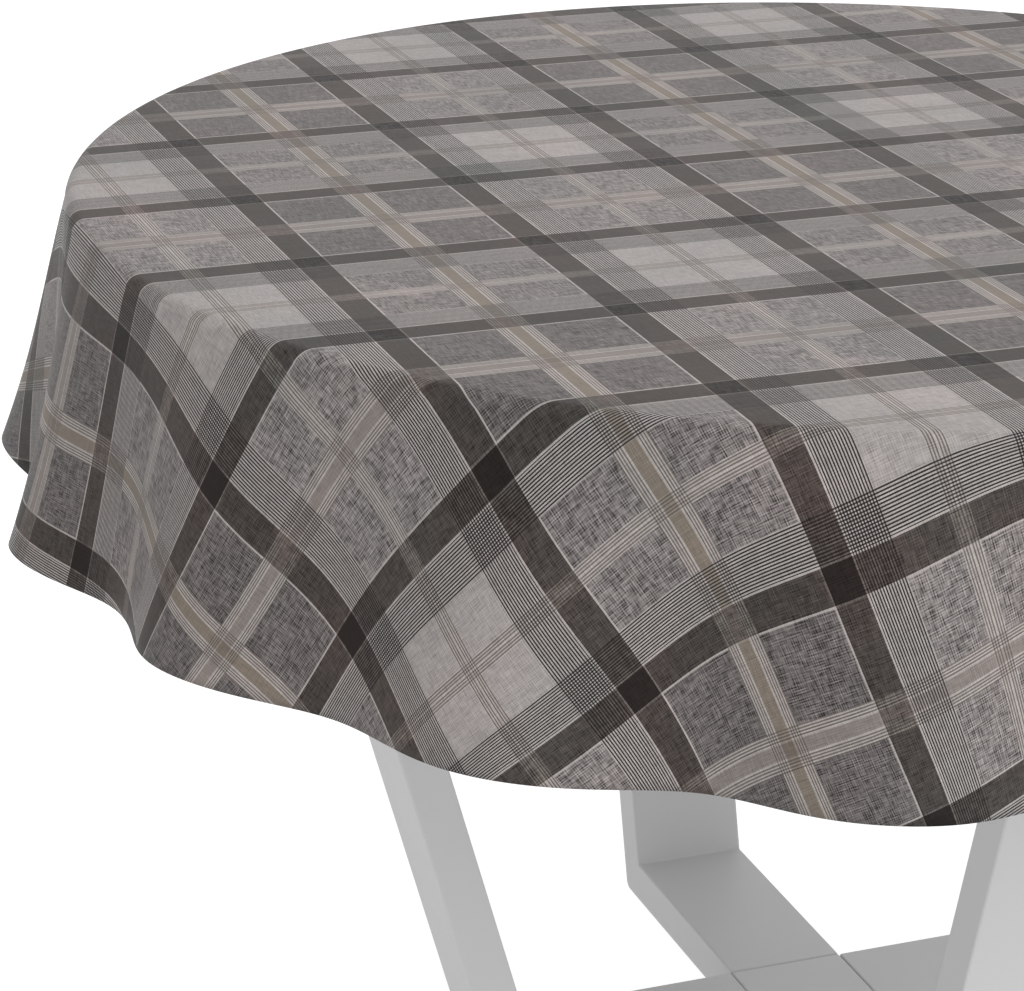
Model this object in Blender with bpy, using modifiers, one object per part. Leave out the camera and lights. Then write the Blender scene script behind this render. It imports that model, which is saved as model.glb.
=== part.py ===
"""A round table dressed with a draped tablecloth, modelled in metres with +Z up.

The origin is on the floor, under the middle of the table. Four bent flat bars lie along X and Y as a
cross on the floor, meet at a centre block, and lean outwards up to a round board. The cloth lies on
the board and hangs round it in sixteen even folds.
"""
from math import atan2, cos, pi, radians, sin, sqrt, tan

import bmesh
import bpy
from mathutils import Matrix, Vector

# Driving dimensions
CLOTH_TOP_HEIGHT = 0.727
CLOTH_DIAMETER = 1.600
CLOTH_THICKNESS = 0.0012
CLOTH_ROUNDING = 0.010
FOLD_COUNT = 16
FOLD_REACH_MEAN = 0.042
FOLD_REACH_SWING = 0.024
FOLD_GROWTH = 0.6
STEEPEST_FALL = 0.6
BOARD_DIAMETER = 1.146
BOARD_THICKNESS = 0.025
BOARD_ROUNDING = 0.010
BAR_WIDTH = 0.097
BAR_THICKNESS = 0.0335
BAR_EDGE = 0.0012
BEND_FROM_CENTRE = 0.251
BEND_ROUNDING = 0.006
LEG_LEAN = radians(15.8)
GLIDE_HEIGHT = 0.005
GLIDE_RADIUS = 0.018
GLIDE_FROM_CENTRE = 0.205
TOP_PLATE_ALONG = 0.100
TOP_PLATE_ACROSS = 0.160
TOP_PLATE_THICKNESS = 0.005
TOP_SCREW_ALONG = 0.038
TOP_SCREW_ACROSS = 0.066
JOINING_PLATE_REACH = 0.140
JOINING_PLATE_WIDTH = 0.060
JOINING_PLATE_THICKNESS = 0.003
JOINING_SCREWS_FROM_CENTRE = (0.075, 0.120)
HEAD_RADIUS = 0.0045
HEAD_DEPTH = 0.0025
SHANK_RADIUS = 0.0020
SCREW_LENGTH = 0.020
SCREW_POINT = 0.004
SCREW_SIDES = 12
GAP = 0.0003
RIM_GAP = 0.0008
HEAD_SINK = 0.0002

# Places that follow from them
CLOTH_RIM = BOARD_DIAMETER / 2 + RIM_GAP + CLOTH_THICKNESS
FLAT_END = CLOTH_RIM - CLOTH_ROUNDING
TURNED_LENGTH = CLOTH_ROUNDING * pi / 2
WHOLE_DROP = CLOTH_DIAMETER / 2 - FLAT_END - TURNED_LENGTH
BOARD_TOP = CLOTH_TOP_HEIGHT - CLOTH_THICKNESS - GAP
BOARD_BOTTOM = BOARD_TOP - BOARD_THICKNESS
ARM_BOTTOM = GLIDE_HEIGHT
ARM_TOP = ARM_BOTTOM + BAR_THICKNESS
PLATE_TOP = BOARD_BOTTOM - GAP
PLATE_BOTTOM = PLATE_TOP - TOP_PLATE_THICKNESS
LEG_TOP = PLATE_BOTTOM - GAP
BAR_ACROSS_LEVEL = BAR_THICKNESS / cos(LEG_LEAN)
LEG_TOP_FROM_CENTRE = BEND_FROM_CENTRE + (LEG_TOP - ARM_TOP) * tan(LEG_LEAN) + BAR_ACROSS_LEVEL / 2
JOINING_PLATE_BOTTOM = ARM_BOTTOM - GAP - JOINING_PLATE_THICKNESS

SIDES = {"right": 0.0, "far": pi / 2, "left": pi, "near": -pi / 2}


def clear_scene():
    for thing in list(bpy.data.objects):
        bpy.data.objects.remove(thing, do_unlink=True)


def new_collection(name):
    group = bpy.data.collections.new(name)
    bpy.context.scene.collection.children.link(group)
    return group


def finish_material(name, colour, roughness, metallic=0.0):
    material = bpy.data.materials.new(name)
    material.use_nodes = True
    shader = material.node_tree.nodes["Principled BSDF"]
    shader.inputs["Base Color"].default_value = (*colour, 1.0)
    shader.inputs["Roughness"].default_value = roughness
    shader.inputs["Metallic"].default_value = metallic
    return material


def object_from(bm, name, group, material=None):
    """Puts the bmesh in a new named object with its material."""
    mesh = bpy.data.meshes.new(name)
    bm.to_mesh(mesh)
    bm.free()
    thing = bpy.data.objects.new(name, mesh)
    group.objects.link(thing)
    if material:
        mesh.materials.append(material)
    return thing


def add_bevel(thing, width, segments=1, angle=radians(40)):
    bevel = thing.modifiers.new("rounded_edges", "BEVEL")
    bevel.width = width
    bevel.segments = segments
    bevel.limit_method = "ANGLE"
    bevel.angle_limit = angle
    return bevel


def cut(thing, cutters):
    """Takes each cutter out of the thing."""
    for cutter in cutters:
        hole = thing.modifiers.new("hole_" + cutter.name, "BOOLEAN")
        hole.operation = "DIFFERENCE"
        hole.solver = "EXACT"
        hole.object = cutter


def shade_round(thing):
    thing.data.shade_smooth()
    thing.data.set_sharp_from_angle(angle=radians(35))


def box(name, size, centre, group, material):
    bm = bmesh.new()
    bmesh.ops.create_cube(bm, size=1.0)
    bmesh.ops.scale(bm, vec=size, verts=bm.verts)
    bmesh.ops.translate(bm, vec=centre, verts=bm.verts)
    return object_from(bm, name, group, material)


def turned(name, profile, steps, group, material=None):
    """Turns a closed (radius, height) profile about Z; both ends of the profile lie on the axis."""
    bm = bmesh.new()
    verts = [bm.verts.new((radius, 0.0, height)) for radius, height in profile]
    for first, second in zip(verts, verts[1:]):
        bm.edges.new((first, second))
    thing = object_from(bm, name, group, material)
    screw = thing.modifiers.new("turned", "SCREW")
    screw.steps = steps
    screw.render_steps = steps
    screw.use_merge_vertices = True
    screw.merge_threshold = 0.00001
    screw.use_smooth_shade = True
    return thing


def screw_profile(clearance):
    """A countersunk screw with its flat head at z = 0 and its point up +Z, grown by the clearance."""
    head = HEAD_RADIUS + clearance
    shank = SHANK_RADIUS + clearance
    return [
        (0.0, SCREW_LENGTH + clearance),
        (shank * 0.35, SCREW_LENGTH + clearance),
        (shank, SCREW_LENGTH - SCREW_POINT),
        (shank, HEAD_DEPTH),
        (head, 0.0005),
        (head, -clearance),
        (0.0, -clearance),
    ]


def screw_and_hole(name, place):
    """One screw driven upwards from the place, and the cutter for its hole."""
    screw = turned(name, screw_profile(0.0), SCREW_SIDES, PARTS, STEEL)
    screw.location = place
    hole = turned(name + "_hole", screw_profile(GAP), SCREW_SIDES, CUTTERS)
    hole.location = place
    hole.hide_render = True
    hole.display_type = "WIRE"
    return hole


def turned_to(angle, along, across, height):
    """A point given along and across the arm on the side at that angle."""
    return Matrix.Rotation(angle, 4, "Z") @ Vector((along, across, height))


# The tablecloth
def fold_reach(share, angle):
    """How far the hanging cloth stands out at a share of its drop, from 0 at the rim to 1 at the hem."""
    return (FOLD_REACH_MEAN + FOLD_REACH_SWING * cos(FOLD_COUNT * angle)) * share**FOLD_GROWTH


def draped(distance, angle):
    """Where a point of the flat round cloth comes to lie, from its distance and angle at the middle."""
    beyond = distance - FLAT_END
    if beyond <= 0:
        radius = distance
        fall = 0.0
    elif beyond <= TURNED_LENGTH:
        turn = beyond / CLOTH_ROUNDING
        radius = FLAT_END + CLOTH_ROUNDING * sin(turn)
        fall = CLOTH_ROUNDING * (1 - cos(turn))
    else:
        drop = beyond - TURNED_LENGTH
        reach = fold_reach(drop / WHOLE_DROP, angle)
        radius = CLOTH_RIM + reach
        fall = CLOTH_ROUNDING + sqrt(max(drop**2 - reach**2, (STEEPEST_FALL * drop) ** 2))
    return Vector((radius * cos(angle), radius * sin(angle), CLOTH_TOP_HEIGHT - fall))


def build_tablecloth():
    hang_start = FLAT_END + TURNED_LENGTH
    distances = [0.0, FLAT_END / 2, FLAT_END]
    distances += [FLAT_END + TURNED_LENGTH * step / 3 for step in (1, 2, 3)]
    distances += [hang_start + WHOLE_DROP * share for share in (0.08, 0.22, 0.45, 0.72, 1.0)]
    bm = bmesh.new()
    verts = [bm.verts.new((distance, 0.0, 0.0)) for distance in distances]
    edges = [bm.edges.new(pair) for pair in zip(verts, verts[1:])]
    bmesh.ops.spin(bm, geom=verts + edges, cent=(0, 0, 0), axis=(0, 0, 1), dvec=(0, 0, 0),
                   angle=2 * pi, steps=FOLD_COUNT * 8, use_merge=True, use_duplicate=False)
    bmesh.ops.remove_doubles(bm, verts=bm.verts, dist=0.00001)
    bmesh.ops.recalc_face_normals(bm, faces=bm.faces)
    if sum(face.normal.z for face in bm.faces) < 0:
        bmesh.ops.reverse_faces(bm, faces=bm.faces)
    for vert in bm.verts:
        vert.co = draped(vert.co.length, atan2(vert.co.y, vert.co.x))
    cloth = object_from(bm, "tablecloth", PARTS, CLOTH)
    shell = cloth.modifiers.new("thickness", "SOLIDIFY")
    shell.thickness = CLOTH_THICKNESS
    shell.offset = -1.0
    shell.use_even_offset = True
    cloth.data.shade_smooth()


# The board, the legs and what holds them together
def build_board(holes):
    bm = bmesh.new()
    bmesh.ops.create_cone(bm, cap_ends=True, segments=96, radius1=BOARD_DIAMETER / 2,
                          radius2=BOARD_DIAMETER / 2, depth=BOARD_THICKNESS)
    bmesh.ops.translate(bm, vec=(0, 0, BOARD_BOTTOM + BOARD_THICKNESS / 2), verts=bm.verts)
    top_edges = [e for e in bm.edges if all(v.co.z > BOARD_TOP - 0.001 for v in e.verts)]
    bmesh.ops.bevel(bm, geom=top_edges, offset=BOARD_ROUNDING, affect="EDGES", segments=3,
                    profile=0.5, material=-1)
    bottom_edges = [e for e in bm.edges if all(v.co.z < BOARD_BOTTOM + 0.001 for v in e.verts)]
    bmesh.ops.bevel(bm, geom=bottom_edges, offset=0.002, affect="EDGES", segments=1,
                    profile=0.5, material=-1)
    board = object_from(bm, "table_top", PARTS, LACQUER)
    cut(board, holes)


def build_leg(side, angle, holes):
    """One bent bar: its arm lies on the floor towards the centre block, and its leg leans outwards."""
    rise = tan(LEG_LEAN)
    outer_foot = BEND_FROM_CENTRE + BAR_ACROSS_LEVEL - (ARM_TOP - ARM_BOTTOM) * rise
    inner_end = BAR_WIDTH / 2 + GAP
    inner_top = BEND_FROM_CENTRE + (LEG_TOP - ARM_TOP) * rise
    outline = [
        (inner_end, ARM_BOTTOM),
        (outer_foot - BEND_ROUNDING, ARM_BOTTOM),
        (outer_foot - BEND_ROUNDING * 0.25, ARM_BOTTOM + BEND_ROUNDING * 0.25),
        (outer_foot + BEND_ROUNDING * rise, ARM_BOTTOM + BEND_ROUNDING),
        (inner_top + BAR_ACROSS_LEVEL, LEG_TOP),
        (inner_top, LEG_TOP),
        (BEND_FROM_CENTRE, ARM_TOP),
        (inner_end, ARM_TOP),
    ]
    bm = bmesh.new()
    section = bm.faces.new([bm.verts.new((x, -BAR_WIDTH / 2, z)) for x, z in outline])
    grown = bmesh.ops.extrude_face_region(bm, geom=[section])
    moved = [item for item in grown["geom"] if isinstance(item, bmesh.types.BMVert)]
    bmesh.ops.translate(bm, vec=(0, BAR_WIDTH, 0), verts=moved)
    bmesh.ops.recalc_face_normals(bm, faces=bm.faces)
    bmesh.ops.rotate(bm, cent=(0, 0, 0), matrix=Matrix.Rotation(angle, 3, "Z"), verts=bm.verts)
    leg = object_from(bm, "leg_" + side, PARTS, LACQUER)
    add_bevel(leg, BAR_EDGE)
    cut(leg, holes)


def build_top_plate(side, angle):
    """The steel plate at the head of a leg, with the four screws that hold it to the board."""
    name = "top_plate_" + side
    size = (TOP_PLATE_ALONG, TOP_PLATE_ACROSS, TOP_PLATE_THICKNESS)
    centre = (LEG_TOP_FROM_CENTRE, 0, PLATE_BOTTOM + TOP_PLATE_THICKNESS / 2)
    plate = box(name, size, centre, PARTS, STEEL)
    plate.data.transform(Matrix.Rotation(angle, 4, "Z"))
    add_bevel(plate, 0.0008)
    holes = []
    corners = [(along, across) for along in (-1, 1) for across in (-1, 1)]
    for number, (along, across) in enumerate(corners, start=1):
        place = turned_to(angle, LEG_TOP_FROM_CENTRE + along * TOP_SCREW_ALONG,
                          across * TOP_SCREW_ACROSS, PLATE_BOTTOM + HEAD_SINK)
        holes.append(screw_and_hole(f"top_screw_{side}_{number}", place))
    cut(plate, holes)
    return holes


def build_glide(side, angle):
    """A plastic foot disc under the end of an arm, and the screw up through its middle."""
    profile = [
        (0.0, GLIDE_HEIGHT - GAP),
        (GLIDE_RADIUS, GLIDE_HEIGHT - GAP),
        (GLIDE_RADIUS, 0.0012),
        (GLIDE_RADIUS - 0.0012, 0.0),
        (0.0, 0.0),
    ]
    glide = turned("glide_" + side, profile, 24, PARTS, PLASTIC)
    glide.location = turned_to(angle, GLIDE_FROM_CENTRE, 0, 0)
    hole = screw_and_hole("glide_screw_" + side, turned_to(angle, GLIDE_FROM_CENTRE, 0, 0.001))
    cut(glide, [hole])
    return hole


def build_joining_plate():
    """The cross-shaped steel plate under the middle, with its screws. Gives the holes by side."""
    half = JOINING_PLATE_WIDTH / 2
    reach = JOINING_PLATE_REACH
    quarter = [(reach, -half), (reach, half), (half, half)]
    outline = [Matrix.Rotation(turn * pi / 2, 2) @ Vector(p) for turn in range(4) for p in quarter]
    bm = bmesh.new()
    section = bm.faces.new([bm.verts.new((p.x, p.y, JOINING_PLATE_BOTTOM)) for p in outline])
    grown = bmesh.ops.extrude_face_region(bm, geom=[section])
    moved = [item for item in grown["geom"] if isinstance(item, bmesh.types.BMVert)]
    bmesh.ops.translate(bm, vec=(0, 0, JOINING_PLATE_THICKNESS), verts=moved)
    bmesh.ops.recalc_face_normals(bm, faces=bm.faces)
    plate = object_from(bm, "joining_plate", PARTS, STEEL)
    height = JOINING_PLATE_BOTTOM + HEAD_SINK
    holes = {"centre": [screw_and_hole("joining_screw_centre", Vector((0, 0, height)))]}
    for side, angle in SIDES.items():
        holes[side] = []
        for number, along in enumerate(JOINING_SCREWS_FROM_CENTRE, start=1):
            place = turned_to(angle, along, 0, height)
            holes[side].append(screw_and_hole(f"joining_screw_{side}_{number}", place))
    cut(plate, [hole for group in holes.values() for hole in group])
    return holes


def build_centre_block(holes):
    size = (BAR_WIDTH, BAR_WIDTH, BAR_THICKNESS)
    block = box("centre_block", size, (0, 0, ARM_BOTTOM + BAR_THICKNESS / 2), PARTS, LACQUER)
    add_bevel(block, BAR_EDGE)
    cut(block, holes)


clear_scene()
PARTS = new_collection("dressed_round_table")
CUTTERS = new_collection("cutters")
CLOTH = finish_material("checked_cloth", (0.16, 0.145, 0.137), 0.6)
LACQUER = finish_material("grey_lacquer", (0.50, 0.50, 0.51), 0.45)
STEEL = finish_material("zinc_steel", (0.60, 0.60, 0.60), 0.35, 1.0)
PLASTIC = finish_material("glide_plastic", (0.05, 0.05, 0.05), 0.6)

joining_holes = build_joining_plate()
build_centre_block(joining_holes["centre"])
board_holes = []
for side_name, side_angle in SIDES.items():
    glide_hole = build_glide(side_name, side_angle)
    board_holes += build_top_plate(side_name, side_angle)
    build_leg(side_name, side_angle, joining_holes[side_name] + [glide_hole])
build_board(board_holes)
build_tablecloth()
for part in PARTS.objects:
    if part.name.startswith(("glide", "top_screw", "joining_screw")):
        shade_round(part)
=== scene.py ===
import math

import bmesh
import bpy
from mathutils import Matrix, Quaternion, Vector


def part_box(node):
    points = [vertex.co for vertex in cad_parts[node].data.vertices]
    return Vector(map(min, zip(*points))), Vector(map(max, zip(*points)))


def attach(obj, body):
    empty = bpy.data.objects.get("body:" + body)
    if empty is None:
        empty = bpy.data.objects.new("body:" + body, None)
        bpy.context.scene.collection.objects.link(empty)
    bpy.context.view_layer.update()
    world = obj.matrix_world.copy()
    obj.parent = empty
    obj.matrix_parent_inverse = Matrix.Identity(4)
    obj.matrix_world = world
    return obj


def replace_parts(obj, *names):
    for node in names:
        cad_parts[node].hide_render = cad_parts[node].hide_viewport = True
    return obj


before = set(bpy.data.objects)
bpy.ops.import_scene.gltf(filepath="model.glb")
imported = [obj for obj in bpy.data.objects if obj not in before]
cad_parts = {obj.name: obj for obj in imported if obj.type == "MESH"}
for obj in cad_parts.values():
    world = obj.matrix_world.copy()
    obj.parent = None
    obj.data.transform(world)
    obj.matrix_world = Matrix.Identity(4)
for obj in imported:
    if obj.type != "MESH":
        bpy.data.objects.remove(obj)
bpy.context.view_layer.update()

# The tablecloth. A round cut of coated cotton, 1.6 m across with a plain cut edge, laid over the
# board so that about a quarter of its radius hangs down. The hanging part falls in sixteen soft
# folds: each stands out from the rim at a shoulder and runs down to the edge between two hollows.
CLOTH_DIAMETER = 1.600
CLOTH_THICKNESS = 0.0007
CLOTH_ROUNDING = 0.010
CLOTH_TO_BOARD = 0.002
CLOTH_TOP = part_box("tablecloth")[1].z
CLOTH_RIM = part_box("table_top")[1].x + CLOTH_TO_BOARD
FLAT_END = CLOTH_RIM - CLOTH_ROUNDING
TURNED_LENGTH = CLOTH_ROUNDING * math.pi / 2
WHOLE_DROP = CLOTH_DIAMETER / 2 - FLAT_END - TURNED_LENGTH
STEEPEST_FALL = 0.55
SHOULDER_SHARE = 0.35
LEAST_SWELL = 0.45
MERGE_DISTANCE = 0.00001

# The folds go evenly round the cloth, a ridge and a hollow in turn, each a little unlike the last.
# A fold has its direction in degrees, its reach in metres at the shoulder and at the edge, how far its
# threads are drawn sideways in degrees, how far its top gives, and how full it hangs at half height.
FOLDS_ROUND = 16
FOLD_TURN = 180.0 / FOLDS_ROUND
RIDGE_SHOULDER = 0.023
RIDGE_EDGE = 0.062
RIDGE_GIVE = 0.05
RIDGE_FULLNESS = -0.10
HOLLOW_SHOULDER = 0.009
HOLLOW_EDGE = 0.022
UNLIKE_STEP = 2.4
SHOULDER_UNLIKE = 0.002
RIDGE_EDGE_UNLIKE = 0.005
HOLLOW_EDGE_UNLIKE = 0.003
FOLDS = []
for number in range(2 * FOLDS_ROUND):
    direction = number * FOLD_TURN - 180.0
    unlike = math.sin(UNLIKE_STEP * number)
    if number % 2:
        shoulder = HOLLOW_SHOULDER + SHOULDER_UNLIKE * unlike
        edge = HOLLOW_EDGE + HOLLOW_EDGE_UNLIKE * unlike
        FOLDS.append((direction, shoulder, edge, -unlike, 0.0, 0.0))
    else:
        shoulder = RIDGE_SHOULDER + SHOULDER_UNLIKE * unlike
        edge = RIDGE_EDGE + RIDGE_EDGE_UNLIKE * unlike
        FOLDS.append((direction, shoulder, edge, unlike, RIDGE_GIVE, RIDGE_FULLNESS))


def fold_at(angle):
    """A fold's five measures at an angle, blended between the nearest ridge and hollow."""
    degrees = math.degrees(angle)
    first = FOLDS[0][0]
    degrees = first + (degrees - first) % 360.0
    ring = FOLDS + [(first + 360.0, *FOLDS[0][1:])]
    for before, after in zip(ring, ring[1:]):
        if degrees <= after[0]:
            share = (degrees - before[0]) / (after[0] - before[0])
            blend = 0.5 - 0.5 * math.cos(math.pi * share)
            return [a + (b - a) * blend for a, b in zip(before[1:], after[1:])]
    return list(ring[-1][1:])


def draped(distance, angle):
    """Where a point of the flat round cloth comes to lie, from its distance and angle at the middle."""
    beyond = distance - FLAT_END
    turn_to = angle
    if beyond <= 0:
        radius = distance
        fall = 0.0
    elif beyond <= TURNED_LENGTH:
        turn = beyond / CLOTH_ROUNDING
        radius = FLAT_END + CLOTH_ROUNDING * math.sin(turn)
        fall = CLOTH_ROUNDING * (1 - math.cos(turn))
    else:
        shoulder, edge, draw, give, fullness = fold_at(angle)
        share = (beyond - TURNED_LENGTH) / WHOLE_DROP
        share += give * math.sin(math.pi * share)
        drop = share * WHOLE_DROP
        swell = max(math.log(shoulder / edge) / math.log(SHOULDER_SHARE), LEAST_SWELL)
        reach = edge * share**swell * (1 + fullness * math.sin(math.pi * share))
        turn_to = angle + math.radians(draw) * share
        radius = CLOTH_RIM + reach
        fall = CLOTH_ROUNDING + math.sqrt(max(drop**2 - reach**2, (STEEPEST_FALL * drop) ** 2))
    return Vector((radius * math.cos(turn_to), radius * math.sin(turn_to), CLOTH_TOP - fall))


def mesh_object(bm, name, *materials):
    """A finished bmesh as an object at the origin, with its materials."""
    mesh = bpy.data.meshes.new(name)
    bm.to_mesh(mesh)
    bm.free()
    thing = bpy.data.objects.new(name, mesh)
    bpy.context.scene.collection.objects.link(thing)
    for material in materials:
        mesh.materials.append(material)
    return thing


CLOTH_ROUND_STEPS = 640
TOP_STEPS = 10
TURN_STEPS = 7
HANG_STEPS = 34
HANG_CROWDING = 1.25
hang_start = FLAT_END + TURNED_LENGTH
distances = [FLAT_END * step / TOP_STEPS for step in range(TOP_STEPS + 1)]
distances += [FLAT_END + TURNED_LENGTH * step / TURN_STEPS for step in range(1, TURN_STEPS + 1)]
distances += [hang_start + WHOLE_DROP * (step / HANG_STEPS) ** HANG_CROWDING
              for step in range(1, HANG_STEPS + 1)]
bm = bmesh.new()
line = [bm.verts.new((distance, 0.0, 0.0)) for distance in distances]
edges = [bm.edges.new(pair) for pair in zip(line, line[1:])]
bmesh.ops.spin(bm, geom=line + edges, cent=(0, 0, 0), axis=(0, 0, 1), dvec=(0, 0, 0),
               angle=2 * math.pi, steps=CLOTH_ROUND_STEPS, use_merge=True, use_duplicate=False)
bmesh.ops.remove_doubles(bm, verts=bm.verts, dist=MERGE_DISTANCE)
bmesh.ops.recalc_face_normals(bm, faces=bm.faces)
if sum(face.normal.z for face in bm.faces) < 0:
    bmesh.ops.reverse_faces(bm, faces=bm.faces)
flat_map = bm.loops.layers.uv.new("flat_cloth")
for face in bm.faces:
    for loop in face.loops:
        loop[flat_map].uv = (loop.vert.co.x, loop.vert.co.y)
for vert in bm.verts:
    vert.co = draped(vert.co.length, math.atan2(vert.co.y, vert.co.x))


# The cloth's colours and its check, the same in both directions. Half of each repeat is slubby grey
# round a beige stripe, half is pale with fine dark lines down both sides, and a dark band parts them.
REPEAT = 0.3255
WARP_START = 0.361
WEFT_START = 0.196
BEIGE_PLACE = 0.2455
LINE_PITCH = 0.0059
LINE_PHASE = 0.085
PALE_MIDDLE = 0.45
PALE_SHIFT = 0.35
# Whole repeats added to a place, so that it is above zero all over the cloth.
REPEATS_ADDED = 8


def sockets(group, inputs, outputs):
    """Gives a node group its sockets; each is (name, kind, default) or (name, kind)."""
    for name, kind, *default in inputs:
        made = group.interface.new_socket(name, in_out="INPUT", socket_type="NodeSocket" + kind)
        if default:
            made.default_value = default[0]
    for name, kind in outputs:
        group.interface.new_socket(name, in_out="OUTPUT", socket_type="NodeSocket" + kind)


def math_node(tree, operation, first, second=0.0, third=None):
    """A Math node whose inputs are sockets or plain numbers; gives its output."""
    node = tree.nodes.new("ShaderNodeMath")
    node.operation = operation
    for socket, value in zip(node.inputs, (first, second, third)):
        if value is None:
            continue
        if isinstance(value, (int, float)):
            socket.default_value = value
        else:
            tree.links.new(value, socket)
    return node.outputs[0]


def mix_colours(tree, share, first, second, blend="MIX"):
    """A colour Mix node; share, first and second are sockets or plain values."""
    node = tree.nodes.new("ShaderNodeMix")
    node.data_type = "RGBA"
    node.blend_type = blend
    node.clamp_factor = True
    for socket, value in ((node.inputs[0], share), (node.inputs[6], first), (node.inputs[7], second)):
        if isinstance(value, (int, float)):
            socket.default_value = value
        elif isinstance(value, tuple):
            socket.default_value = (*value, 1.0)
        else:
            tree.links.new(value, socket)
    return node.outputs[2]


def screen_colour(red, green, blue):
    """A colour as a screen shows it, from 0 to 255, turned to the linear values that nodes take."""
    def linear(value):
        part = value / 255
        return part / 12.92 if part <= 0.04045 else ((part + 0.055) / 1.055) ** 2.4
    return linear(red), linear(green), linear(blue)


def striped_ramp(tree, place, order, tones):
    """A ramp of hard-edged stripes: the order gives each start and kind, the tones each colour and mask."""
    ramp = tree.nodes.new("ShaderNodeValToRGB")
    ramp.color_ramp.interpolation = "CONSTANT"
    elements = ramp.color_ramp.elements
    while len(elements) < len(order):
        elements.new(1.0)
    for element, (start, kind) in zip(elements, order):
        colour, mask = tones[kind]
        element.position = start
        element.color = (*colour, mask)
    tree.links.new(place, ramp.inputs["Fac"])
    return ramp.outputs["Color"], ramp.outputs["Alpha"]


def make_sett_group():
    """One direction of the check: what its threads lay down, from a place counted in repeats."""
    group = bpy.data.node_groups.new("check_stripes", "ShaderNodeTree")
    sockets(group, [("Place", "Float"), ("Beige", "Color", (0.5, 0.5, 0.5, 1.0))],
            [("Tone", "Color"), ("Solid", "Float"), ("Over Dark", "Color"), ("Dark", "Float"),
             ("Light", "Float")])
    entry = group.nodes.new("NodeGroupInput")
    leave = group.nodes.new("NodeGroupOutput")
    from_beige = math_node(group, "SUBTRACT", entry.outputs["Place"], BEIGE_PLACE - 0.5)
    from_beige = math_node(group, "SUBTRACT", math_node(group, "FRACT", from_beige), 0.5)
    from_beige = math_node(group, "ABSOLUTE", from_beige)
    # From the middle of a beige stripe to the middle of the pale ground, in repeats.
    order = [(0.0, "beige"), (0.0142, "lined"), (0.0386, "grey"), (0.2072, "edge"), (0.2114, "dark"),
             (0.2795, "edge"), (0.2841, "fine"), (0.3645, "light"), (0.4802, "lined")]
    plain = (1.0, 1.0, 1.0)
    over_ground = screen_colour(71, 65, 62)
    # A tone is what a thread line lets through, against the palest yarn; the mask is 1 where the line
    # lies solid over the other direction's ground.
    tone, solid = striped_ramp(group, from_beige, order, {
        "beige": (plain, 1.0), "lined": (plain, 1.0), "grey": (plain, 0.0), "edge": (plain, 1.0),
        "dark": (plain, 0.0), "fine": ((0.96, 0.985, 1.01), 1.0), "light": (plain, 0.0)})
    line_tone, lined = striped_ramp(group, from_beige, order, {
        "beige": (plain, 0.0), "lined": ((0.37, 0.35, 0.34), 1.0), "grey": (plain, 0.0),
        "edge": (plain, 0.0), "dark": (plain, 0.0), "fine": ((0.07, 0.064, 0.06), 1.0),
        "light": (plain, 0.0)})
    over, dark = striped_ramp(group, from_beige, order, {
        "beige": (screen_colour(94, 85, 81), 0.0), "lined": (screen_colour(112, 106, 101), 0.0),
        "grey": (over_ground, 0.0), "edge": (screen_colour(98, 92, 88), 0.0),
        "dark": (screen_colour(38, 33, 31), 1.0), "fine": (screen_colour(82, 76, 73), 0.0),
        "light": (screen_colour(74, 68, 65), 0.0)})
    line_over, light = striped_ramp(group, from_beige, order, {
        "beige": (over_ground, 0.0), "lined": (screen_colour(80, 72, 68), 0.0),
        "grey": (over_ground, 0.0), "edge": (over_ground, 0.0), "dark": (over_ground, 0.0),
        "fine": (screen_colour(40, 35, 33), 0.0), "light": (over_ground, 1.0)})
    shift = math_node(group, "GREATER_THAN", from_beige, PALE_MIDDLE)
    shift = math_node(group, "MULTIPLY_ADD", shift, PALE_SHIFT, LINE_PHASE)
    wave = math_node(group, "FRACT", math_node(group, "MULTIPLY_ADD", from_beige, 1 / LINE_PITCH, shift))
    middle = math_node(group, "ABSOLUTE", math_node(group, "SUBTRACT", wave, 0.5))
    thin = math_node(group, "MULTIPLY", math_node(group, "LESS_THAN", middle, 0.25), lined)
    is_beige = math_node(group, "LESS_THAN", from_beige, order[1][0])
    tone = mix_colours(group, is_beige, tone, entry.outputs["Beige"])
    group.links.new(mix_colours(group, thin, tone, line_tone), leave.inputs["Tone"])
    group.links.new(mix_colours(group, thin, over, line_over), leave.inputs["Over Dark"])
    group.links.new(solid, leave.inputs["Solid"])
    group.links.new(dark, leave.inputs["Dark"])
    group.links.new(light, leave.inputs["Light"])
    return group


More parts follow.
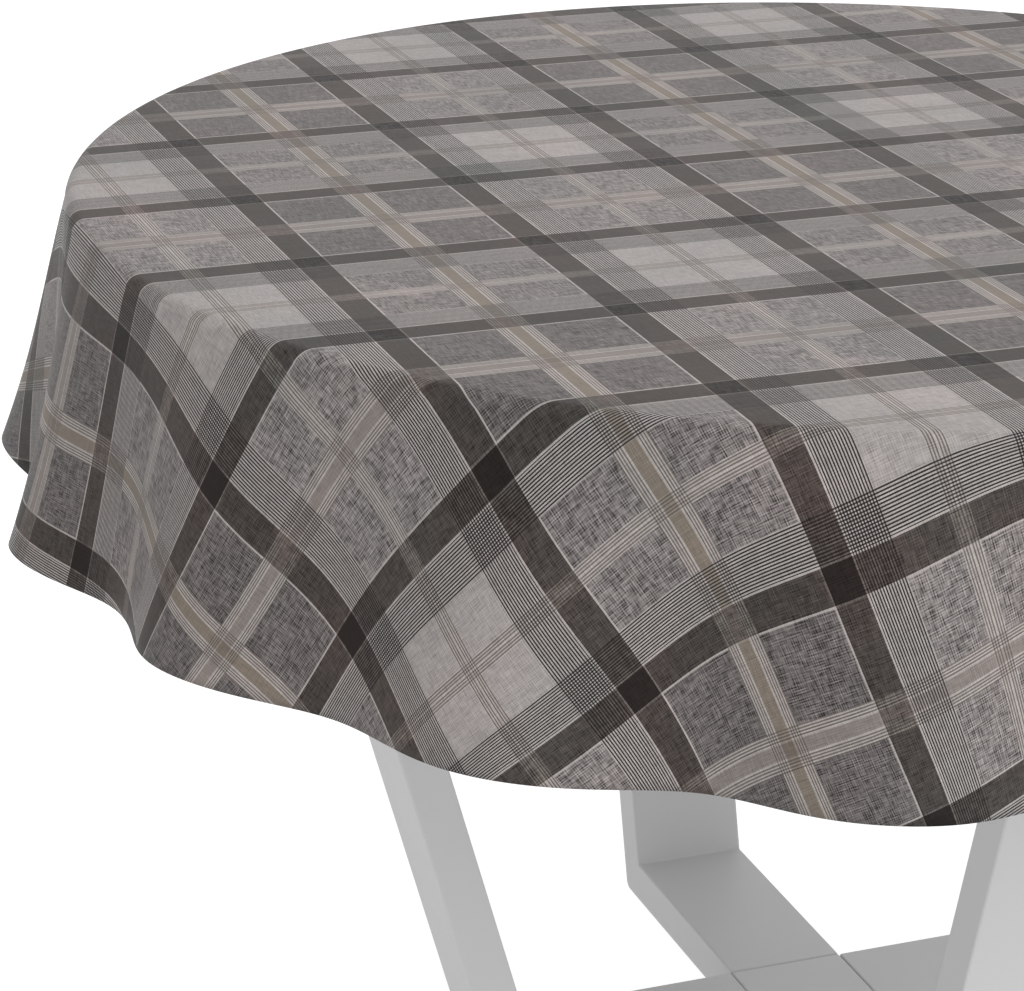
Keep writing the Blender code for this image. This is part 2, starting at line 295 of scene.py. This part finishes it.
def make_slub_group():
    """Uneven linen threads that cross: a value round zero, from a flat place on the cloth in metres."""
    group = bpy.data.node_groups.new("linen_slubs", "ShaderNodeTree")
    sockets(group, [("Flat", "Vector")], [("Slubs", "Float"), ("Weave", "Float"), ("Drift", "Float")])
    entry = group.nodes.new("NodeGroupInput")
    leave = group.nodes.new("NodeGroupOutput")

    parts = group.nodes.new("ShaderNodeSeparateXYZ")
    group.links.new(entry.outputs["Flat"], parts.inputs["Vector"])

    def grain(place, scale, detail):
        node = group.nodes.new("ShaderNodeTexNoise")
        node.noise_dimensions = "2D"
        node.inputs["Scale"].default_value = scale
        node.inputs["Detail"].default_value = detail
        group.links.new(place, node.inputs["Vector"])
        return math_node(group, "SUBTRACT", node.outputs["Fac"], 0.5)

    def threads(lengthwise, crosswise, along, across):
        number = math_node(group, "FLOOR", math_node(group, "MULTIPLY", parts.outputs[crosswise], across))
        place = group.nodes.new("ShaderNodeCombineXYZ")
        group.links.new(math_node(group, "MULTIPLY", parts.outputs[lengthwise], along), place.inputs["X"])
        group.links.new(math_node(group, "MULTIPLY", number, 7.31), place.inputs["Y"])
        in_turn = math_node(group, "SUBTRACT", math_node(group, "FLOORED_MODULO", number, 2.0), 0.5)
        return math_node(group, "MULTIPLY_ADD", in_turn, 0.30, grain(place.outputs["Vector"], 1.0, 0.0))

    fine = math_node(group, "ADD", threads("X", "Y", 120, 1250), threads("Y", "X", 120, 1250))
    coarse = math_node(group, "ADD", threads("X", "Y", 55, 820), threads("Y", "X", 55, 820))
    slubs = math_node(group, "MULTIPLY_ADD", coarse, 0.25, fine)
    group.links.new(slubs, leave.inputs["Slubs"])
    group.links.new(fine, leave.inputs["Weave"])
    group.links.new(grain(entry.outputs["Flat"], 9.0, 2.0), leave.inputs["Drift"])
    return group


def new_material(name, roughness, specular=0.5):
    """A material with its Principled shader; gives the material, its tree and the shader."""
    material = bpy.data.materials.new(name)
    material.use_nodes = True
    tree = material.node_tree
    shader = tree.nodes["Principled BSDF"]
    shader.inputs["Roughness"].default_value = roughness
    shader.inputs["Specular IOR Level"].default_value = specular
    return material, tree, shader


def group_node(tree, group, **values):
    """A node that uses a group, with its inputs set to values or linked from sockets."""
    node = tree.nodes.new("ShaderNodeGroup")
    node.node_tree = group
    for name, value in values.items():
        socket = node.inputs[name.replace("_", " ")]
        if isinstance(value, bpy.types.NodeSocket):
            tree.links.new(value, socket)
        else:
            socket.default_value = value
    return node


def make_checked_cloth():
    """The printed face: the check in both directions, linen threads in it, and a soft coated sheen."""
    material, tree, shader = new_material("checked_cloth", 0.5, 0.12)
    flat = tree.nodes.new("ShaderNodeUVMap")
    flat.uv_map = "flat_cloth"
    parts = tree.nodes.new("ShaderNodeSeparateXYZ")
    tree.links.new(flat.outputs["UV"], parts.inputs["Vector"])
    across = math_node(tree, "MULTIPLY_ADD", parts.outputs["X"], 1 / REPEAT, WARP_START + REPEATS_ADDED)
    along = math_node(tree, "MULTIPLY_ADD", parts.outputs["Y"], -1 / REPEAT, WEFT_START + REPEATS_ADDED)
    sett = make_sett_group()
    warp = group_node(tree, sett, Place=across, Beige=(0.52, 0.48, 0.42, 1.0))
    weft = group_node(tree, sett, Place=along, Beige=(0.59, 0.56, 0.545, 1.0))
    slub = group_node(tree, make_slub_group(), Flat=flat.outputs["UV"])

    # Where grounds cross, pale yarn over grey yarn makes a tone nearer the grey.
    both_light = math_node(tree, "MULTIPLY", warp.outputs["Light"], weft.outputs["Light"])
    paleness = math_node(tree, "MULTIPLY", warp.outputs["Light"], 0.36)
    paleness = math_node(tree, "MULTIPLY_ADD", weft.outputs["Light"], 0.23, paleness)
    paleness = math_node(tree, "MULTIPLY_ADD", both_light, 0.41, paleness)
    colour = mix_colours(tree, paleness, screen_colour(105, 100, 99), screen_colour(161, 155, 153))

    # Lines and stripes lie solid on a ground, and darken each other where they cross.
    both_solid = math_node(tree, "MULTIPLY", warp.outputs["Solid"], weft.outputs["Solid"])
    either_solid = math_node(tree, "MAXIMUM", warp.outputs["Solid"], weft.outputs["Solid"])
    through = mix_colours(tree, 1.0, warp.outputs["Tone"], weft.outputs["Tone"], "MULTIPLY")
    ease = tree.nodes.new("ShaderNodeGamma")
    tree.links.new(through, ease.inputs["Color"])
    tree.links.new(math_node(tree, "MULTIPLY_ADD", both_solid, -0.28, 1.0), ease.inputs["Gamma"])
    laid = mix_colours(tree, 1.0, ease.outputs["Color"], screen_colour(173, 166, 162), "MULTIPLY")
    colour = mix_colours(tree, either_solid, colour, laid)

    # A dark band lets the other direction show only faintly.
    colour = mix_colours(tree, warp.outputs["Dark"], colour, weft.outputs["Over Dark"])
    colour = mix_colours(tree, weft.outputs["Dark"], colour, warp.outputs["Over Dark"])

    # Linen threads stand out on grey and dark ground, and hardly on pale ground and solid stripes.
    either_dark = math_node(tree, "MAXIMUM", warp.outputs["Dark"], weft.outputs["Dark"])
    both_dark = math_node(tree, "MULTIPLY", warp.outputs["Dark"], weft.outputs["Dark"])
    linen = math_node(tree, "MULTIPLY_ADD", both_light, -0.7, 1.0)
    calm = math_node(tree, "SUBTRACT", either_solid, either_dark)
    calm = math_node(tree, "MAXIMUM", calm, 0.0)
    linen = math_node(tree, "MULTIPLY_ADD", calm, -0.75, linen)
    linen = math_node(tree, "MULTIPLY_ADD", either_dark, -0.3, linen)
    linen = math_node(tree, "MULTIPLY_ADD", both_dark, -0.3, linen)
    depth = math_node(tree, "MULTIPLY", slub.outputs["Slubs"], linen)
    gain = math_node(tree, "MULTIPLY_ADD", depth, 1.3, 1.0)
    drift = math_node(tree, "MULTIPLY_ADD", slub.outputs["Drift"], 0.25, 1.0)
    gain = math_node(tree, "MAXIMUM", math_node(tree, "MULTIPLY", gain, drift), 0.15)
    warmth = math_node(tree, "MULTIPLY_ADD", either_dark, 0.25, 0.12)
    warmth = math_node(tree, "MULTIPLY", slub.outputs["Drift"], warmth)
    tinted = tree.nodes.new("ShaderNodeCombineColor")
    tree.links.new(math_node(tree, "MULTIPLY_ADD", warmth, gain, gain), tinted.inputs["Red"])
    tree.links.new(gain, tinted.inputs["Green"])
    tree.links.new(gain, tinted.inputs["Blue"])
    colour = mix_colours(tree, 1.0, colour, tinted.outputs["Color"], "MULTIPLY")
    tree.links.new(colour, shader.inputs["Base Color"])
    rough = math_node(tree, "MULTIPLY_ADD", slub.outputs["Weave"], 0.25, 0.5)
    tree.links.new(rough, shader.inputs["Roughness"])
    bump = tree.nodes.new("ShaderNodeBump")
    bump.inputs["Strength"].default_value = 0.15
    bump.inputs["Distance"].default_value = 0.0003
    tree.links.new(slub.outputs["Slubs"], bump.inputs["Height"])
    tree.links.new(bump.outputs["Normal"], shader.inputs["Normal"])
    return material


def make_cloth_back():
    """The uncoated cotton back: pale, matt, with the weave showing."""
    material, tree, shader = new_material("cloth_back", 0.9, 0.2)
    flat = tree.nodes.new("ShaderNodeUVMap")
    flat.uv_map = "flat_cloth"
    slub = group_node(tree, bpy.data.node_groups["linen_slubs"], Flat=flat.outputs["UV"])
    share = math_node(tree, "MULTIPLY_ADD", slub.outputs["Slubs"], 1.2, 0.5)
    colour = mix_colours(tree, share, screen_colour(176, 172, 166), screen_colour(205, 201, 195))
    tree.links.new(colour, shader.inputs["Base Color"])
    bump = tree.nodes.new("ShaderNodeBump")
    bump.inputs["Strength"].default_value = 0.4
    bump.inputs["Distance"].default_value = 0.0004
    tree.links.new(slub.outputs["Weave"], bump.inputs["Height"])
    tree.links.new(bump.outputs["Normal"], shader.inputs["Normal"])
    return material


cloth = mesh_object(bm, "cloth", make_checked_cloth(), make_cloth_back())
cloth.data.shade_smooth()
shell = cloth.modifiers.new("thickness", "SOLIDIFY")
shell.thickness = CLOTH_THICKNESS
shell.offset = -1.0
shell.use_even_offset = True
shell.material_offset = 1
shell.material_offset_rim = 1
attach(cloth, "cloth")
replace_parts(cloth, "tablecloth")


# The base. Four bent flat bars of wood, each an arm on the floor and a leg that leans outwards, and
# the square block between them, all sprayed with the same light grey satin lacquer. A fine groove
# shows where each arm meets the block.
BAR_WIDTH = 0.097
BEND_FROM_CENTRE = 0.251
LEG_LEAN = math.radians(15.8)
BAR_EDGE = 0.0018
BEND_EDGE = 0.007
SEAM = 0.0006
arm_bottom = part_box("centre_block")[0].z
arm_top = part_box("centre_block")[1].z
leg_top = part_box("leg_right")[1].z


def make_lacquer_group():
    """Sprayed lacquer: fine orange peel, and a faint drift of tone, from a place in metres."""
    group = bpy.data.node_groups.new("sprayed_lacquer", "ShaderNodeTree")
    sockets(group, [("Place", "Vector"), ("Colour", "Color", (0.6, 0.6, 0.6, 1.0))],
            [("Colour", "Color"), ("Roughness", "Float"), ("Normal", "Vector")])
    entry = group.nodes.new("NodeGroupInput")
    leave = group.nodes.new("NodeGroupOutput")

    def grain(scale, detail):
        node = group.nodes.new("ShaderNodeTexNoise")
        node.inputs["Scale"].default_value = scale
        node.inputs["Detail"].default_value = detail
        group.links.new(entry.outputs["Place"], node.inputs["Vector"])
        return node.outputs["Fac"]

    drift = math_node(group, "MULTIPLY_ADD", grain(4.0, 2.0), 0.10, 0.95)
    tone = group.nodes.new("ShaderNodeCombineColor")
    for name in ("Red", "Green", "Blue"):
        group.links.new(drift, tone.inputs[name])
    colour = mix_colours(group, 1.0, entry.outputs["Colour"], tone.outputs["Color"], "MULTIPLY")
    group.links.new(colour, leave.inputs["Colour"])
    rough = math_node(group, "MULTIPLY_ADD", grain(60.0, 3.0), 0.16, 0.36)
    group.links.new(rough, leave.inputs["Roughness"])
    bump = group.nodes.new("ShaderNodeBump")
    bump.inputs["Strength"].default_value = 0.08
    bump.inputs["Distance"].default_value = 0.0003
    group.links.new(grain(900.0, 2.0), bump.inputs["Height"])
    group.links.new(bump.outputs["Normal"], leave.inputs["Normal"])
    return group


def make_lacquer():
    """The light grey satin lacquer of the base and the board."""
    material, tree, shader = new_material("grey_lacquer", 0.45, 0.4)
    place = tree.nodes.new("ShaderNodeTexCoord")
    finish = group_node(tree, make_lacquer_group(), Place=place.outputs["Object"],
                        Colour=(*screen_colour(207, 207, 208), 1.0))
    tree.links.new(finish.outputs["Colour"], shader.inputs["Base Color"])
    tree.links.new(finish.outputs["Roughness"], shader.inputs["Roughness"])
    tree.links.new(finish.outputs["Normal"], shader.inputs["Normal"])
    return material


LACQUER = make_lacquer()


def soften(piece):
    """Rounds the edges and keeps the broad faces flat between them."""
    piece.data.shade_smooth()
    rounded = piece.modifiers.new("rounded_edges", "BEVEL")
    rounded.width = BAR_EDGE
    rounded.segments = 3
    rounded.limit_method = "ANGLE"
    rounded.angle_limit = math.radians(50)
    rounded.harden_normals = True


def bent_bar(name, angle):
    """Draws the bar's end section out along the floor to the bend, then up the leg."""
    lean = math.tan(LEG_LEAN)
    bar_across_level = (arm_top - arm_bottom) / math.cos(LEG_LEAN)
    outer_foot = BEND_FROM_CENTRE + bar_across_level - (arm_top - arm_bottom) * lean
    inner_end = BAR_WIDTH / 2 + SEAM
    head = BEND_FROM_CENTRE + (leg_top - arm_top) * lean
    bm = bmesh.new()
    bmesh.ops.create_grid(bm, x_segments=1, y_segments=1, size=0.5)
    for vert in bm.verts:
        high = vert.co.x > 0
        vert.co = Vector((inner_end, vert.co.y * BAR_WIDTH, arm_top if high else arm_bottom))

    def draw_out(section, low_place, high_place):
        grown = bmesh.ops.extrude_face_region(bm, geom=[section])["geom"]
        newest = [item for item in grown if isinstance(item, bmesh.types.BMVert)]
        ranked = sorted(newest, key=lambda v: (v.co.z, -v.co.x))
        for vert in ranked[:2]:
            vert.co.x, vert.co.z = low_place
        for vert in ranked[2:]:
            vert.co.x, vert.co.z = high_place
        return [item for item in grown if isinstance(item, bmesh.types.BMFace)][0]

    first = bm.faces[:][0]
    bent = draw_out(first, (outer_foot, arm_bottom), (BEND_FROM_CENTRE, arm_top))
    grown = bmesh.ops.extrude_face_region(bm, geom=[bent])["geom"]
    bmesh.ops.delete(bm, geom=[bent], context="FACES_ONLY")
    for vert in [item for item in grown if isinstance(item, bmesh.types.BMVert)]:
        low = vert.co.z < (arm_top + arm_bottom) / 2
        vert.co.x = head + bar_across_level if low else head
        vert.co.z = leg_top
    bmesh.ops.remove_doubles(bm, verts=bm.verts, dist=MERGE_DISTANCE)
    bmesh.ops.recalc_face_normals(bm, faces=bm.faces)
    foot = [e for e in bm.edges
            if all(abs(v.co.x - outer_foot) < 0.0001 and v.co.z < arm_bottom + 0.0001 for v in e.verts)]
    bmesh.ops.bevel(bm, geom=foot, offset=BEND_EDGE, affect="EDGES", segments=4, profile=0.5,
                    material=-1)
    bmesh.ops.rotate(bm, cent=(0, 0, 0), matrix=Matrix.Rotation(angle, 3, "Z"), verts=bm.verts)
    bar = mesh_object(bm, name, LACQUER)
    soften(bar)
    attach(bar, "table")
    return bar


for side, turns in {"right": 0, "far": 1, "left": 2, "near": 3}.items():
    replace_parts(bent_bar("bar_" + side, turns * math.pi / 2), "leg_" + side)

bm = bmesh.new()
bmesh.ops.create_cube(bm, size=1.0)
bmesh.ops.scale(bm, vec=(BAR_WIDTH, BAR_WIDTH, arm_top - arm_bottom), verts=bm.verts)
bmesh.ops.translate(bm, vec=(0, 0, (arm_top + arm_bottom) / 2), verts=bm.verts)
block = mesh_object(bm, "middle_block", LACQUER)
soften(block)
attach(block, "table")
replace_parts(block, "centre_block")


# The board. A round of fibreboard with a rounded top edge, lacquered like the base. The cloth hides
# all of it but the underside.
def dress(node, material):
    """Gives a part of the frame its finish in place of the plain one."""
    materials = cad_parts[node].data.materials
    materials.clear()
    materials.append(material)


dress("table_top", LACQUER)


# The fittings. Zinc plated steel plates at the head of each leg and under the middle of the cross,
# with countersunk screws, and black plastic glides under the arms.
def make_zinc():
    """Zinc plated steel, mottled and fairly bright."""
    material, tree, shader = new_material("zinc_steel", 0.4, 0.5)
    shader.inputs["Metallic"].default_value = 1.0
    place = tree.nodes.new("ShaderNodeTexCoord")
    grain = tree.nodes.new("ShaderNodeTexNoise")
    grain.inputs["Scale"].default_value = 220.0
    grain.inputs["Detail"].default_value = 4.0
    tree.links.new(place.outputs["Object"], grain.inputs["Vector"])
    colour = mix_colours(tree, grain.outputs["Fac"], screen_colour(176, 178, 182),
                         screen_colour(206, 206, 203))
    tree.links.new(colour, shader.inputs["Base Color"])
    rough = math_node(tree, "MULTIPLY_ADD", grain.outputs["Fac"], 0.3, 0.22)
    tree.links.new(rough, shader.inputs["Roughness"])
    bump = tree.nodes.new("ShaderNodeBump")
    bump.inputs["Strength"].default_value = 0.15
    bump.inputs["Distance"].default_value = 0.0002
    tree.links.new(grain.outputs["Fac"], bump.inputs["Height"])
    tree.links.new(bump.outputs["Normal"], shader.inputs["Normal"])
    return material


def make_glide_plastic():
    """Black moulded plastic with a fine grain."""
    material, tree, shader = new_material("glide_plastic", 0.6, 0.4)
    place = tree.nodes.new("ShaderNodeTexCoord")
    grain = tree.nodes.new("ShaderNodeTexNoise")
    grain.inputs["Scale"].default_value = 700.0
    grain.inputs["Detail"].default_value = 3.0
    tree.links.new(place.outputs["Object"], grain.inputs["Vector"])
    colour = mix_colours(tree, grain.outputs["Fac"], screen_colour(26, 26, 27),
                         screen_colour(48, 48, 48))
    tree.links.new(colour, shader.inputs["Base Color"])
    rough = math_node(tree, "MULTIPLY_ADD", grain.outputs["Fac"], 0.3, 0.45)
    tree.links.new(rough, shader.inputs["Roughness"])
    bump = tree.nodes.new("ShaderNodeBump")
    bump.inputs["Strength"].default_value = 0.3
    bump.inputs["Distance"].default_value = 0.0002
    tree.links.new(grain.outputs["Fac"], bump.inputs["Height"])
    tree.links.new(bump.outputs["Normal"], shader.inputs["Normal"])
    return material


ZINC = make_zinc()
GLIDE_PLASTIC = make_glide_plastic()
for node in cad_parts:
    if node.startswith(("top_plate", "joining_plate")) or "screw" in node:
        dress(node, ZINC)
    elif node.startswith("glide"):
        dress(node, GLIDE_PLASTIC)


# The studio: a white floor that runs on past the view, an even pale sky, and one broad soft light
# above and behind the camera.
SKY_LEVEL = 0.87
SKY_FARTHER = 0.08
SKY_RIGHTWARD = 0.40
FLOOR_RADIUS = 14.0
FLOOR_GLOW = 0.56
FLOOR_GLOW_SEEN = 0.30
bm = bmesh.new()
bmesh.ops.create_circle(bm, cap_ends=True, segments=96, radius=FLOOR_RADIUS)
FLOOR, floor_tree, floor_shader = new_material("studio_floor", 0.9, 0.0)
floor_shader.inputs["Base Color"].default_value = (0.35, 0.35, 0.35, 1.0)
floor_shader.inputs["Emission Color"].default_value = (1.0, 1.0, 1.0, 1.0)
seen = floor_tree.nodes.new("ShaderNodeLightPath").outputs["Is Camera Ray"]
floor_tree.links.new(math_node(floor_tree, "MULTIPLY_ADD", seen, FLOOR_GLOW_SEEN, FLOOR_GLOW),
                     floor_shader.inputs["Emission Strength"])
floor = mesh_object(bm, "floor", FLOOR)

world = bpy.data.worlds.new("studio")
world.use_nodes = True
sky_tree = world.node_tree
sky = sky_tree.nodes["Background"]
sky.inputs["Color"].default_value = (1.0, 1.0, 1.0, 1.0)
toward = sky_tree.nodes.new("ShaderNodeSeparateXYZ")
sky_tree.links.new(sky_tree.nodes.new("ShaderNodeTexCoord").outputs["Generated"], toward.inputs[0])
level = math_node(sky_tree, "MULTIPLY_ADD", toward.outputs["Y"], SKY_FARTHER, SKY_LEVEL)
level = math_node(sky_tree, "MULTIPLY_ADD", toward.outputs["X"], SKY_RIGHTWARD, level)
seen = sky_tree.nodes.new("ShaderNodeLightPath").outputs["Is Camera Ray"]
sky_tree.links.new(math_node(sky_tree, "MAXIMUM", level, seen), sky.inputs["Strength"])
bpy.context.scene.world = world

softbox = bpy.data.lights.new("softbox", "AREA")
softbox.shape = "DISK"
softbox.size = 3.0
softbox.energy = 56.0
lamp = bpy.data.objects.new("softbox", softbox)
lamp.location = (0.4, -3.6, 3.4)
lamp.rotation_euler = (Vector((0, 0, 0.5)) - lamp.location).to_track_quat("-Z", "Y").to_euler()
bpy.context.scene.collection.objects.link(lamp)

CAMERA_PLACE = Vector((-1.0596, -2.1517, 1.3802))
CAMERA_AIM = Vector((-0.3458, -0.2250, 0.5938))
CAMERA_ROLL = math.radians(0.5)
lens = bpy.data.cameras.new("camera")
lens.sensor_width = 36.0
lens.lens = 117.04
camera = bpy.data.objects.new("camera", lens)
camera.location = CAMERA_PLACE
looking = (CAMERA_AIM - CAMERA_PLACE).to_track_quat("-Z", "Y")
camera.rotation_euler = (looking @ Quaternion((0, 0, 1), CAMERA_ROLL)).to_euler()
bpy.context.scene.collection.objects.link(camera)
bpy.context.scene.camera = camera
bpy.context.scene.view_settings.view_transform = "Standard"
